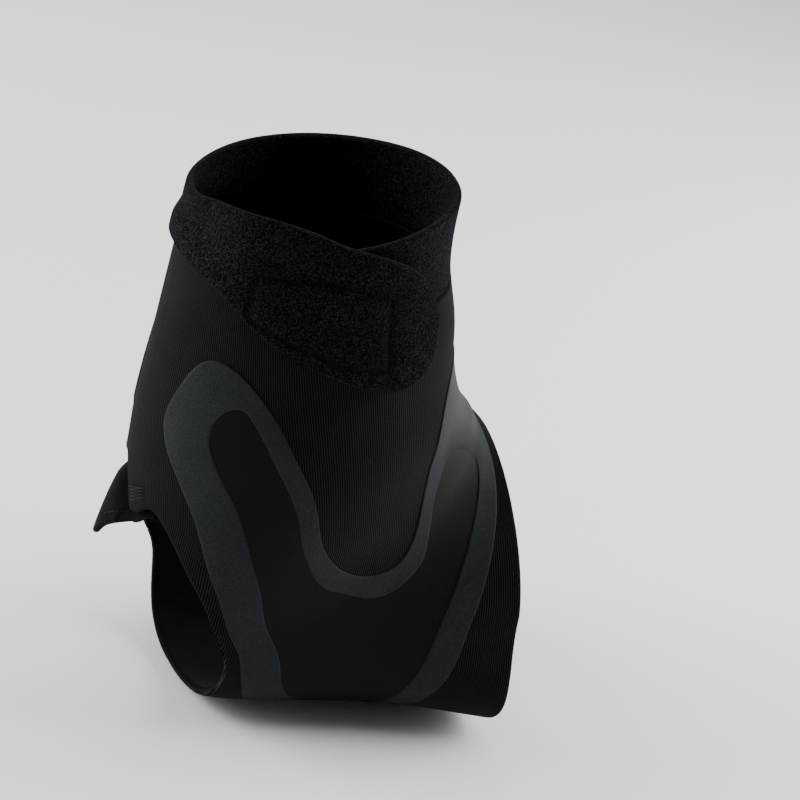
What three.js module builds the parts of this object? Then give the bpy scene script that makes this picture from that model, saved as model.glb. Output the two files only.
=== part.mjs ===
// Wrap-round ankle brace in the form it keeps on a right foot, in millimetres, +Z up.
// +X points to the toes, -Y to the outer side of the ankle, +Y to the inner side.
// The origin is where the sole rests: on the inner face of the strap under the foot,
// below the ankle. The leg and the foot themselves are left out, so the brace is hollow.

import * as THREE from 'three';

// Leg part of the form
const rimFrontHeight = 157.4;   // top rim over the shin
const rimBackHeight = 147.4;    // top rim over the Achilles tendon
const legDepth = 71;            // knit, front to back at the rim
const legWidth = 62;            // knit, side to side at the rim
const legCentreX = -20;         // middle of the rim, behind the origin

// Foot part of the form
const instepHeight = 77.6;      // ridge of the instep at the front edge
const frontReach = 56;          // front edge, ahead of the origin
const heelReach = 60.5;         // back of the heel, behind the origin
const outerWidth = 46.5;        // origin plane to the outer side, at the front edge
const innerWidth = 37;          // origin plane to the inner side, at the front edge
const ridgeShift = 9;           // the instep's ridge lies this far to the inner side

// Walls and clearances
const knitWall = 2.6;
const tabWall = 2.2;
const strapWall = 2.4;
const patchWall = 1.2;
const filmWall = 0.5;
const layerGap = 0.4;           // between a layer and the one that lies on it
const edgeGap = 0.7;            // between the strap's sewn stretch and the knit below it

// Ankle strap
const strapWidth = 45;          // at its widest, just before the rounded end
const strapStart = 0.30;        // where it is sewn on, as a share of the way round
const strapLap = 2.4;           // how far its free stretch covers the knit's top edge
const strapDip = 1.4;           // above that edge it sinks in towards the leg by this much
const strapFlare = 2.6;         // over the shin its upper edge stands out by this much

// Heel opening and tab
const openingSpan = 0.324;      // share of the way round that the heel opening takes
const openingSides = 0.662;     // place along the form's run where it is widest
const openingUp = 0.180;        // from there up behind the ankle
const openingDown = 0.100;      // from there down and forward under the heel
const openingRoundUp = 1.7;     // 2 is an ellipse, less is more pointed
const openingRoundDown = 2.5;
const lipDrop = 0.028;          // lip of its upper edge, where the tab's outer side is sewn
const lipPlace = 0.476;         // share of the way round
const lipSpread = 0.022;
const tabLap = 8;               // how far the tab reaches up under the knit
const tabSpan = 0.21;           // share of the way round that the tab takes
const tabCentre = 0.545;        // its middle, a little to the inner side of the back
const tabShows = 1.5;           // the least that it shows below the knit's edge

// Support film
const filmStops = 0.415;        // where its legs end under the sole, share of the way round
const filmMeets = 0.006;        // the two bands meet over the instep, this far to each side

// Where the strap changes along its turn: shares of the way round from its sewn start
const strapClimb = { from: 0.46, to: 0.60 };    // off the leg on to the knit
const patchClimb = { from: 0.84, to: 0.92 };    // on to the hook patch
const flareTurn = { from: 0.16, peak: 0.27, to: 0.50 };
const lapTurn = { from: 0.60, full: 0.64, fades: 0.95, to: 0.99 };  // over the knit's top edge
const dipReach = 7.2;           // the dip begins this far above the knit's top edge
const dipClear = 1.2;           // and is over this far above it

// Points of the surfaces
const openingSteps = 24;        // knit columns across the heel opening
const restSteps = 34;           // knit columns round the rest of the ring
const knitSteps = 9;            // knit rows above the opening, and as many below it
const strapSteps = 62;
const strapCloseUp = 1.25;      // over 1 the strap's columns close up towards its end
const tabSteps = 16;
const patchSteps = 10;
const filmSteps = 2;            // crossings of the film band for each row of its table
const crossSteps = 6;           // rows from edge to edge of the strap, tab and patch
const filmCrossSteps = 3;

// Sections of the form, from the rim over the ankle's bend to the front edge. Each one is
// a closed ring from a front point to a back point, or to a point under the sole.
// foot and wide set the width, ahead and drop place the front point between rim and front
// edge, heel, toe and low place the back point. round and taper shape the ring.
const sectionColumns = [
  'run', 'foot', 'wide', 'ahead', 'drop', 'heel', 'toe', 'low',
  'roundTop', 'roundLow', 'taper', 'ridge',
];
const sections = [
  [0.00, 0.00, 1.000, 0.000, 0.000, 0.0, 0.000, 0.000, 2.00, 2.0, 0.05, 0.00],
  [0.15, 0.10, 0.970, 0.120, 0.247, 0.2, 0.000, 0.147, 2.00, 2.0, 0.05, 0.00],
  [0.28, 0.20, 0.990, 0.268, 0.444, 0.3, 0.000, 0.293, 2.00, 2.0, 0.05, 0.00],
  [0.40, 0.30, 1.020, 0.375, 0.630, 0.4, 0.000, 0.440, 2.00, 2.0, 0.03, 0.11],
  [0.50, 0.40, 1.020, 0.515, 0.765, 0.3, 0.000, 0.587, 2.00, 2.0, 0.00, 0.22],
  [0.58, 0.50, 0.960, 0.645, 0.846, 1.0, 0.000, 0.760, 2.00, 2.0, -0.05, 0.33],
  [0.66, 0.60, 0.907, 0.771, 0.901, 1.0, 0.038, 0.920, 2.00, 2.2, -0.10, 0.50],
  [0.75, 0.70, 0.900, 0.843, 0.942, 1.0, 0.217, 0.990, 2.05, 2.3, -0.20, 0.67],
  [0.85, 0.80, 0.930, 0.916, 0.969, 1.0, 0.557, 1.000, 2.15, 2.3, -0.28, 0.83],
  [0.93, 0.92, 0.960, 0.964, 0.985, 1.0, 0.787, 1.000, 2.30, 2.5, -0.34, 0.94],
  [1.00, 1.00, 1.000, 1.000, 1.000, 1.0, 1.000, 1.000, 2.45, 3.1, -0.38, 1.00],
];

// The strap winds from its sewn start over the shin, round the inner side and the back,
// and ends over its own start. turn is the way gone round, top the height of its upper
// edge as a share of the form's run, wide its width as a share of strapWidth.
const strapColumns = ['turn', 'top', 'wide'];
const strapRows = [
  [0.000, 0.035, 0.45],
  [0.130, 0.012, 0.53],
  [0.230, 0.002, 0.55],
  [0.300, -0.012, 0.57],
  [0.450, -0.015, 0.55],
  [0.600, -0.010, 0.48],
  [0.800, -0.008, 0.34],
  [0.860, -0.022, 0.44],
  [0.900, -0.028, 0.52],
  [0.940, -0.027, 0.63],
  [0.980, -0.017, 0.71],
  [1.020, 0.007, 0.77],
  [1.050, 0.024, 0.81],
  [1.080, 0.045, 0.79],
  [1.107, 0.072, 0.70],
  [1.133, 0.125, 0.40],
  [1.147, 0.185, 0.06],
];

// The tab under the opening's upper edge: its lower edge hangs down behind the heel.
const tabColumns = ['aside', 'hang'];
const tabRows = [
  [0.00, 0.568],
  [0.10, 0.561],
  [0.20, 0.552],
  [0.47, 0.535],
  [0.72, 0.522],
  [1.00, 0.508],
];

// Hook patch under the strap's end: its upper and lower edge at each share of its length.
const patchColumns = ['way', 'upper', 'lower'];
const patchRows = [
  [0.222, 0.122, 0.262],
  [0.255, 0.096, 0.250],
  [0.290, 0.080, 0.222],
  [0.330, 0.078, 0.190],
  [0.367, 0.083, 0.162],
];

// Film band on the outer side, from under the sole up the heel side, over its first bow,
// down into the valley and over the instep's bow back under the sole. Each row is a
// crossing of the band: its outer edge and its inner edge, along the run and round.
const filmColumns = ['outRun', 'outWay', 'inRun', 'inWay'];
const filmRows = [
  [0.793, filmStops, 0.824, filmStops - 0.010],
  [0.746, 0.363, 0.782, 0.355],
  [0.696, 0.330, 0.735, 0.314],
  [0.652, 0.321, 0.684, 0.295],
  [0.596, 0.335, 0.627, 0.294],
  [0.547, 0.359, 0.576, 0.309],
  [0.506, 0.389, 0.524, 0.334],
  [0.446, 0.421, 0.454, 0.363],
  [0.410, 0.441, 0.414, 0.379],
  [0.368, 0.451, 0.382, 0.387],
  [0.314, 0.437, 0.352, 0.384],
  [0.270, 0.420, 0.334, 0.374],
  [0.253, 0.397, 0.327, 0.363],
  [0.264, 0.370, 0.332, 0.352],
  [0.300, 0.341, 0.358, 0.339],
  [0.362, 0.309, 0.412, 0.315],
  [0.440, 0.288, 0.476, 0.302],
  [0.518, 0.275, 0.534, 0.286],
  [0.588, 0.254, 0.605, 0.261],
  [0.650, 0.237, 0.680, 0.248],
  [0.700, 0.229, 0.744, 0.245],
  [0.734, 0.216, 0.774, 0.234],
  [0.736, 0.198, 0.784, 0.212],
  [0.700, 0.174, 0.776, 0.194],
  [0.618, 0.154, 0.730, 0.162],
  [0.540, 0.147, 0.650, 0.140],
  [0.440, 0.132, 0.575, 0.128],
  [0.370, 0.098, 0.580, 0.110],
  [0.346, 0.050, 0.620, 0.099],
  [0.340, filmMeets, 0.655, 0.092],
  [0.676, filmMeets, 0.700, 0.088],
  [0.740, 0.018, 0.756, 0.086],
  [0.822, 0.040, 0.800, 0.090],
  [0.888, 0.062, 0.828, 0.104],
  [0.926, 0.095, 0.846, 0.128],
  [0.938, 0.132, 0.856, 0.154],
  [0.930, 0.176, 0.862, 0.190],
  [0.921, 0.225, 0.866, 0.228],
  [0.925, 0.270, 0.878, 0.266],
  [0.925, 0.312, 0.885, 0.306],
  [0.918, 0.360, 0.886, 0.352],
  [0.910, filmStops, 0.884, filmStops],
];

const mix = (a, b, share) => a + (b - a) * share;

const smooth = (from, to, x) => {
  const t = THREE.MathUtils.clamp((x - from) / (to - from), 0, 1);
  return t * t * (3 - 2 * t);
};

// A table as one object: read(key) gives every named column at that place of the first
// column, along a smooth curve through the rows.
function curveOf(columns, rows) {
  const keys = rows.map((row) => row[0]);
  const last = rows.length - 1;
  const slope = (i, c) => {
    const before = i > 0 ? (rows[i][c] - rows[i - 1][c]) / (keys[i] - keys[i - 1]) : null;
    const after = i < last ? (rows[i + 1][c] - rows[i][c]) / (keys[i + 1] - keys[i]) : null;
    if (before === null) return after;
    if (after === null) return before;
    const left = keys[i] - keys[i - 1];
    const right = keys[i + 1] - keys[i];
    return (before * right + after * left) / (left + right);
  };
  return (key) => {
    let i = 0;
    while (i < last - 1 && key > keys[i + 1]) i += 1;
    const step = keys[i + 1] - keys[i];
    const t = (key - keys[i]) / step;
    const a = (1 + 2 * t) * (1 - t) ** 2;
    const b = t * (1 - t) ** 2;
    const c = t * t * (3 - 2 * t);
    const d = t * t * (t - 1);
    const read = {};
    columns.forEach((name, n) => {
      read[name] = a * rows[i][n] + b * step * slope(i, n) + c * rows[i + 1][n] + d * step * slope(i + 1, n);
    });
    return read;
  };
}

const sectionAt = curveOf(sectionColumns, sections);
const strapAt = curveOf(strapColumns, strapRows);
const tabAt = curveOf(tabColumns, tabRows);
const patchAt = curveOf(patchColumns, patchRows);

// The knit's outer face. run goes from 0 at the rim to 1 at the front edge, way goes round
// the ring: 0 in front, 0.25 on the outer side, 0.5 behind or below, 0.75 on the inner side.
function form(run, way) {
  const s = sectionAt(run);
  const frontX = mix(legCentreX + legDepth / 2, frontReach, s.ahead);
  const frontZ = mix(rimFrontHeight, instepHeight, s.drop);
  const backX = mix(mix(legCentreX - legDepth / 2, -heelReach, s.heel), frontReach, s.toe);
  const backZ = mix(rimBackHeight, -knitWall, s.low);
  const angle = 2 * Math.PI * way;
  const cos = Math.cos(angle);
  const sin = Math.sin(angle);
  const power = 2 / (cos > 0 ? s.roundTop : s.roundLow);
  const along = Math.sign(cos) * Math.abs(cos) ** power;
  const side = mix(legWidth / 2, sin > 0 ? outerWidth : innerWidth, s.foot) * s.wide;
  const across = Math.sign(sin) * Math.abs(sin) ** power;
  return new THREE.Vector3(
    (frontX + backX) / 2 + ((frontX - backX) / 2) * along,
    -side * (1 + s.taper * cos) * across + (s.ridge * ridgeShift * (1 + cos)) / 2,
    (frontZ + backZ) / 2 + ((frontZ - backZ) / 2) * along,
  );
}

const probe = 0.002;

// A point at a height over the knit's outer face, along the face's normal.
function over(run, way, lift) {
  const alongRun = form(run + probe, way).sub(form(run - probe, way));
  const alongWay = form(run, way + probe).sub(form(run, way - probe));
  return form(run, way).addScaledVector(alongWay.cross(alongRun).normalize(), lift);
}

// Share of the run that a length down the leg takes.
const legRun = form(0, 0.25).distanceTo(form(0.28, 0.25)) / 0.28;
const runOf = (length) => length / legRun;

// A closed solid from a sheet of points { run, way, low, high } and its four-sided faces:
// the faces lie at both lifts, and every free edge of the sheet gets a wall.
function thicken(points, faces) {
  const positions = [];
  for (const p of points) positions.push(...over(p.run, p.way, p.high).toArray());
  for (const p of points) positions.push(...over(p.run, p.way, p.low).toArray());
  const below = points.length;
  const index = [];
  const edges = new Map();
  for (const face of faces) {
    const corners = face.filter((corner, n) => corner !== face[(n + 1) % face.length]);
    for (let n = 1; n + 1 < corners.length; n += 1) {
      index.push(corners[0], corners[n], corners[n + 1]);
      index.push(corners[0] + below, corners[n + 1] + below, corners[n] + below);
    }
    corners.forEach((from, n) => {
      const to = corners[(n + 1) % corners.length];
      if (!edges.delete(`${to} ${from}`)) edges.set(`${from} ${to}`, [from, to]);
    });
  }
  for (const [from, to] of edges.values()) {
    index.push(from, from + below, to, to, from + below, to + below);
  }
  const geometry = new THREE.BufferGeometry();
  geometry.setAttribute('position', new THREE.Float32BufferAttribute(positions, 3));
  geometry.setIndex(index);
  geometry.computeVertexNormals();
  return geometry;
}

// A sheet of columns, each a list of points from its upper to its lower edge.
function sheetOf(columns) {
  const rows = columns[0].length;
  const faces = [];
  for (let k = 0; k + 1 < columns.length; k += 1) {
    for (let r = 0; r + 1 < rows; r += 1) {
      const at = k * rows + r;
      faces.push([at, at + rows, at + rows + 1, at + 1]);
    }
  }
  return thicken(columns.flat(), faces);
}

// Evenly spread values.
const spread = (from, to, count) =>
  Array.from({ length: count + 1 }, (_, n) => mix(from, to, n / count));

const strapEnd = strapRows[strapRows.length - 1][0];

// Strap edges at a place of its turn.
function strapEdges(turn) {
  const s = strapAt(turn);
  return { upper: s.top, lower: s.top + runOf(s.wide * strapWidth) };
}

// The knit's top edge keeps clear of the strap's sewn stretch and runs up under the rest.
function knitTop(way) {
  const sewnTurn = way <= strapStart ? strapStart - way : strapStart + 1 - way;
  const sewn = strapEdges(THREE.MathUtils.clamp(sewnTurn, 0, 1)).lower + runOf(edgeGap);
  const freeTurn = strapStart + 1 - way;
  const free = strapEdges(Math.min(freeTurn, strapEnd)).lower - runOf(strapLap);
  const begun = smooth(lapTurn.from, lapTurn.full, freeTurn);
  const over = smooth(lapTurn.fades, lapTurn.to, freeTurn);
  return mix(sewn, free, begun * (1 - over));
}

// Lift of the strap's inner face. The strap is flush with the knit where it is sewn on,
// climbs on to it round the inner side, and climbs once more over the hook patch.
function strapLift(turn, run) {
  const { upper, lower } = strapEdges(turn);
  const towardsTop = THREE.MathUtils.clamp((lower - run) / (lower - upper), 0, 1);
  const flared = smooth(flareTurn.from, flareTurn.peak, turn);
  const overShin = flared * (1 - smooth(flareTurn.peak, flareTurn.to, turn));
  const flare = strapFlare * towardsTop ** 2 * overShin;
  const onKnit = smooth(strapClimb.from, strapClimb.to, turn);
  const onPatch = smooth(patchClimb.from, patchClimb.to, turn);
  const edge = knitTop(strapStart + 1 - turn);
  const above = 1 - smooth(edge - runOf(dipReach), edge - runOf(dipClear), run);
  const dip = strapDip * above * onKnit * (1 - onPatch);
  return mix(-strapWall, layerGap, onKnit) + (patchWall + layerGap) * onPatch - dip + flare;
}

// Places round the ring where the knit has a column of points. Inside the heel opening
// they close up towards its ends, where its edge turns.
const openingFrom = 0.5 - openingSpan / 2;
const openingTo = 0.5 + openingSpan / 2;

function knitWays() {
  const inside = [];
  for (let n = 0; n <= openingSteps; n += 1) {
    inside.push(0.5 - (openingSpan / 2) * Math.cos((Math.PI * n) / openingSteps));
  }
  const outside = spread(openingTo, openingFrom + 1, restSteps).slice(1, -1).map((w) => w % 1);
  return [...inside, ...outside];
}

// Upper and lower edge of the heel opening.
function openingEdges(way) {
  const aside = Math.abs(way - 0.5) / (openingSpan / 2);
  const bow = (round) => Math.max(1 - Math.min(aside, 1) ** round, 0) ** (1 / round);
  const lip = lipDrop * Math.exp(-(((way - lipPlace) / lipSpread) ** 2));
  return {
    over: openingSides - openingUp * bow(openingRoundUp) + lip,
    under: openingSides + openingDown * bow(openingRoundDown),
  };
}

// The knit body: one sheet all round, split above and below the heel opening.
function knitBody() {
  const points = [];
  const columns = knitWays().map((way, n) => {
    const open = n > 0 && n < openingSteps;
    const edge = openingEdges(way);
    const upper = spread(knitTop(way), edge.over, knitSteps);
    const lower = spread(edge.under, 1, knitSteps);
    const place = (run) => points.push({ run, way, low: -knitWall, high: 0 }) - 1;
    const above = upper.map(place);
    const below = open ? lower.map(place) : [above[knitSteps], ...lower.slice(1).map(place)];
    return { above, below };
  });
  const faces = [];
  columns.forEach((column, k) => {
    const next = columns[(k + 1) % columns.length];
    for (const part of ['above', 'below']) {
      for (let r = 0; r + 1 < column[part].length; r += 1) {
        faces.push([column[part][r], next[part][r], next[part][r + 1], column[part][r + 1]]);
      }
    }
  });
  return thicken(points, faces);
}

// The tab: its upper rows lie under the knit, its lower edge is level with it.
function heelTab() {
  const columns = spread(-1, 1, tabSteps).map((aside) => {
    const way = tabCentre + (aside * tabSpan) / 2;
    const edge = openingEdges(way).over;
    const hang = Math.max(tabAt(Math.abs(aside)).hang, edge + runOf(tabShows));
    return spread(edge - runOf(tabLap), hang, crossSteps).map((run) => {
      const under = smooth(edge, hang + runOf(tabShows), run);
      const high = mix(-knitWall - layerGap, -layerGap, under);
      return { run, way, low: high - tabWall, high };
    });
  });
  return sheetOf(columns);
}

// The strap: one ribbon from its sewn start to its rounded end.
function ankleStrap() {
  const columns = spread(0, 1, strapSteps).map((share) => {
    const turn = strapEnd * (1 - (1 - share) ** strapCloseUp);
    const { upper, lower } = strapEdges(turn);
    const way = strapStart - turn;
    return spread(upper, lower, crossSteps).map((run) => {
      const low = strapLift(turn, run);
      return { run, way, low, high: low + strapWall };
    });
  });
  return sheetOf(columns.reverse());
}

function hookPatch() {
  const first = patchRows[0][0];
  const last = patchRows[patchRows.length - 1][0];
  const columns = spread(first, last, patchSteps).map((way) => {
    const { upper, lower } = patchAt(way);
    const low = layerGap;
    return spread(upper, lower, crossSteps).map((run) => ({ run, way, low, high: low + patchWall }));
  });
  return sheetOf(columns);
}

// The film band, one ribbon from leg to leg. side is 1 for the outer side of the ankle
// and -1 for the inner side.
function supportFilm(side) {
  const stations = filmRows.map((row, n) => [n, ...row]);
  const filmAt = curveOf(['at', ...filmColumns], stations);
  const last = filmRows.length - 1;
  const columns = spread(0, last, last * filmSteps).map((at) => {
    const f = filmAt(at);
    return spread(0, 1, filmCrossSteps).map((share) => ({
      run: mix(f.outRun, f.inRun, share),
      way: mix(Math.max(f.outWay, filmMeets), f.inWay, share) * side,
      low: layerGap,
      high: layerGap + filmWall,
    }));
  });
  return sheetOf(side > 0 ? columns.reverse() : columns);
}

const finish = (color, roughness) =>
  new THREE.MeshStandardMaterial({ color, roughness, metalness: 0 });
const ribbedKnit = finish('#1b1e20', 0.92);
const loopPile = finish('#101116', 0.98);
const hookTape = finish('#0c0c0e', 0.8);
const bondedFilm = finish('#3b4248', 0.7);

const brace = new THREE.Group();

function add(name, geometry, material) {
  const mesh = new THREE.Mesh(geometry, material);
  mesh.name = name;
  brace.add(mesh);
}

add('knit_body', knitBody(), ribbedKnit);
add('heel_tab', heelTab(), ribbedKnit);
add('ankle_strap', ankleStrap(), loopPile);
add('hook_patch', hookPatch(), hookTape);
add('film_outer', supportFilm(1), bondedFilm);
add('film_inner', supportFilm(-1), bondedFilm);

export default brace;
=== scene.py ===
# A wrap-round ankle brace, held in the form it has on a right foot. The leg and foot
# themselves are left out, so the brace stands hollow and open.
# Lengths are in millimetres until a mesh is made, and pieces are in metres, +Z up. A place
# on the form is its run, 0 at the rim to 1 at the front edge, and its way, once round:
# 0 in front, 0.25 on the outer side, 0.5 behind.

import math

import bpy
import numpy as np
from mathutils import Matrix, Vector, kdtree
from mathutils.geometry import delaunay_2d_cdt


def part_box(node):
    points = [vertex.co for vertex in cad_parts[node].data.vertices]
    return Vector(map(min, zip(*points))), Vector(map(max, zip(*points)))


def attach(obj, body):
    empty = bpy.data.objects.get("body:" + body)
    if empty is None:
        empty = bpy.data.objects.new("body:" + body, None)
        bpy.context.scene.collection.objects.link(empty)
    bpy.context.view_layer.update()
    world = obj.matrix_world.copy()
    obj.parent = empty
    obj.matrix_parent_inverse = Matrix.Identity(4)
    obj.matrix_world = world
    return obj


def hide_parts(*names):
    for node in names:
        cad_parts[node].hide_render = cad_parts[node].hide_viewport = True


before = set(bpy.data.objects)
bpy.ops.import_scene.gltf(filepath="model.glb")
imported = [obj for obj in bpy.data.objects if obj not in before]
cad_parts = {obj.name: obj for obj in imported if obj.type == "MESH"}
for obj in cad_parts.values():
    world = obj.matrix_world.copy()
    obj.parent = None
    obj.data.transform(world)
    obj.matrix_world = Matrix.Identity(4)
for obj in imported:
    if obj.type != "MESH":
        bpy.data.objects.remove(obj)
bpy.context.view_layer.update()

METRES = 0.001

# The form: leg part, foot part, walls and gaps between layers
RIM_FRONT_HEIGHT = 157.4
RIM_BACK_HEIGHT = 147.4
LEG_DEPTH = 71.0
LEG_WIDTH = 62.0
LEG_CENTRE_X = -20.0
INSTEP_HEIGHT = 77.6
FRONT_REACH = 56.0
HEEL_REACH = 60.5
OUTER_WIDTH = 46.5
INNER_WIDTH = 37.0
RIDGE_SHIFT = 9.0
KNIT_WALL = 2.6
TAB_WALL = 2.2
STRAP_WALL = 2.4
PATCH_WALL = 1.2
LAYER_GAP = 0.4
EDGE_GAP = 0.7
STRAP_RESTS = 0.06

# Strap, heel opening, tab and film: lengths, and places as shares of the run, the way or the
# strap's turn, which is 0 at its sewn start
STRAP_WIDTH = 45.0
STRAP_START = 0.30
STRAP_LAP = 2.4
STRAP_DIP = 1.4
STRAP_FLARE = 2.6
STRAP_CLIMB = (0.46, 0.60)
PATCH_CLIMB = (0.84, 0.92)
FLARE_TURN = (0.16, 0.27, 0.50)
LAP_TURN = (0.60, 0.64, 0.95, 0.99)
DIP_REACH = 7.2
DIP_CLEAR = 1.2
OPENING_SPAN = 0.324
OPENING_SIDES = 0.662
OPENING_UP = 0.180
OPENING_DOWN = 0.100
OPENING_ROUND_UP = 1.7
OPENING_ROUND_DOWN = 2.1
LIP_DROP = 0.028
LIP_PLACE = 0.476
LIP_SPREAD = 0.022
FAR_RISE = 0.018
TAB_LAP = 8.0
TAB_SPAN = 0.21
TAB_CENTRE = 0.545
TAB_SHOWS = 1.5
TAB_STANDS_OFF = 2.9
TAB_STANDS_AT = (0.535, 0.045)
FILM_STOPS = 0.415

SECTION_COLUMNS = ["run", "foot", "wide", "ahead", "drop", "heel", "toe", "low",
                   "round_top", "round_low", "taper", "ridge"]
SECTIONS = [
    (0.00, 0.00, 1.000, 0.000, 0.000, 0.0, 0.000, 0.000, 2.00, 2.0, 0.05, 0.00),
    (0.15, 0.10, 0.970, 0.120, 0.247, 0.2, 0.000, 0.147, 2.00, 2.0, 0.05, 0.00),
    (0.28, 0.20, 0.990, 0.268, 0.444, 0.3, 0.000, 0.293, 2.00, 2.0, 0.05, 0.00),
    (0.40, 0.30, 1.020, 0.375, 0.630, 0.4, 0.000, 0.440, 2.00, 2.0, 0.03, 0.11),
    (0.50, 0.40, 1.020, 0.515, 0.765, 0.3, 0.000, 0.587, 2.00, 2.0, 0.00, 0.22),
    (0.58, 0.50, 0.960, 0.645, 0.846, 1.0, 0.000, 0.760, 2.00, 2.0, -0.05, 0.33),
    (0.66, 0.60, 0.907, 0.771, 0.901, 1.0, 0.038, 0.920, 2.00, 2.2, -0.10, 0.50),
    (0.75, 0.70, 0.900, 0.843, 0.942, 1.0, 0.217, 0.990, 2.05, 2.3, -0.20, 0.67),
    (0.85, 0.80, 0.930, 0.916, 0.969, 1.0, 0.557, 1.000, 2.15, 2.3, -0.28, 0.83),
    (0.93, 0.92, 0.960, 0.964, 0.985, 1.0, 0.787, 1.000, 2.30, 2.5, -0.34, 0.94),
    (1.00, 1.00, 1.000, 1.000, 1.000, 1.0, 1.000, 1.000, 2.45, 3.1, -0.38, 1.00),
]

STRAP_COLUMNS = ["turn", "top", "wide"]
STRAP_ROWS = [
    (0.000, 0.035, 0.45),
    (0.130, 0.012, 0.53),
    (0.230, 0.002, 0.55),
    (0.300, -0.012, 0.57),
    (0.450, -0.015, 0.55),
    (0.600, -0.010, 0.48),
    (0.800, -0.008, 0.34),
    (0.860, -0.022, 0.44),
    (0.900, -0.028, 0.52),
    (0.940, -0.027, 0.66),
    (0.980, -0.017, 0.765),
    (1.020, 0.007, 0.805),
    (1.050, 0.024, 0.835),
    (1.080, 0.045, 0.838),
    (1.107, 0.072, 0.755),
    (1.133, 0.125, 0.47),
    (1.147, 0.185, 0.06),
]

TAB_COLUMNS = ["aside", "hang"]
TAB_ROWS = [(0.00, 0.568), (0.10, 0.561), (0.20, 0.552), (0.47, 0.535), (0.72, 0.522),
            (1.00, 0.508)]

PATCH_COLUMNS = ["way", "upper", "lower"]
PATCH_ROWS = [
    (0.222, 0.122, 0.262),
    (0.255, 0.096, 0.250),
    (0.290, 0.080, 0.222),
    (0.330, 0.078, 0.190),
    (0.367, 0.083, 0.162),
]

FILM_COLUMNS = ["at", "out_run", "out_way", "in_run", "in_way"]
FILM_ROWS = [
    (0.793, FILM_STOPS, 0.824, FILM_STOPS - 0.010),
    (0.746, 0.363, 0.782, 0.355),
    (0.696, 0.330, 0.735, 0.314),
    (0.652, 0.321, 0.684, 0.295),
    (0.596, 0.335, 0.627, 0.294),
    (0.547, 0.359, 0.576, 0.309),
    (0.506, 0.389, 0.524, 0.334),
    (0.446, 0.421, 0.454, 0.363),
    (0.410, 0.441, 0.414, 0.379),
    (0.368, 0.451, 0.382, 0.387),
    (0.314, 0.437, 0.352, 0.384),
    (0.270, 0.420, 0.334, 0.374),
    (0.253, 0.397, 0.327, 0.363),
    (0.264, 0.370, 0.332, 0.352),
    (0.300, 0.341, 0.358, 0.339),
    (0.362, 0.309, 0.412, 0.315),
    (0.440, 0.288, 0.476, 0.302),
    (0.518, 0.275, 0.534, 0.286),
    (0.588, 0.254, 0.605, 0.261),
    (0.650, 0.237, 0.680, 0.248),
    (0.700, 0.229, 0.744, 0.245),
    (0.734, 0.216, 0.774, 0.234),
    (0.736, 0.198, 0.784, 0.212),
    (0.700, 0.174, 0.776, 0.194),
    (0.618, 0.154, 0.730, 0.162),
    (0.540, 0.147, 0.650, 0.140),
    (0.440, 0.132, 0.575, 0.128),
    (0.370, 0.098, 0.580, 0.110),
    (0.346, 0.050, 0.620, 0.099),
    (0.340, 0.000, 0.655, 0.092),
    (0.676, 0.000, 0.700, 0.088),
    (0.740, 0.018, 0.756, 0.086),
    (0.822, 0.040, 0.800, 0.090),
    (0.888, 0.062, 0.828, 0.104),
    (0.926, 0.095, 0.846, 0.128),
    (0.938, 0.132, 0.856, 0.154),
    (0.930, 0.176, 0.862, 0.190),
    (0.921, 0.225, 0.866, 0.228),
    (0.925, 0.270, 0.878, 0.266),
    (0.925, 0.312, 0.885, 0.306),
    (0.918, 0.360, 0.886, 0.352),
    (0.910, FILM_STOPS, 0.884, FILM_STOPS),
]


def mix(a, b, share):
    return a + (b - a) * share


def smooth(start, stop, x):
    t = np.clip((x - start) / (stop - start), 0, 1)
    return t * t * (3 - 2 * t)


def curve_of(columns, rows):
    """Reads a table along a smooth curve through its rows, by places of its first column."""
    table = np.array(rows, float)
    keys = table[:, 0]
    steps = np.diff(keys)
    rates = np.diff(table, axis=0) / steps[:, None]
    slopes = np.empty_like(table)
    slopes[0], slopes[-1] = rates[0], rates[-1]
    left, right = steps[:-1, None], steps[1:, None]
    slopes[1:-1] = (rates[:-1] * right + rates[1:] * left) / (left + right)

    def read(key):
        key = np.asarray(key, float)
        i = np.clip(np.searchsorted(keys, key, side="left") - 1, 0, len(keys) - 2)
        step = steps[i]
        t = (key - keys[i]) / step
        a = (1 + 2 * t) * (1 - t) ** 2
        b = t * (1 - t) ** 2 * step
        c = t * t * (3 - 2 * t)
        d = t * t * (t - 1) * step
        values = (a[..., None] * table[i] + b[..., None] * slopes[i]
                  + c[..., None] * table[i + 1] + d[..., None] * slopes[i + 1])
        return {name: values[..., n] for n, name in enumerate(columns)}

    return read


section_at = curve_of(SECTION_COLUMNS, SECTIONS)
strap_at = curve_of(STRAP_COLUMNS, STRAP_ROWS)
tab_at = curve_of(TAB_COLUMNS, TAB_ROWS)
patch_at = curve_of(PATCH_COLUMNS, PATCH_ROWS)


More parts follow.
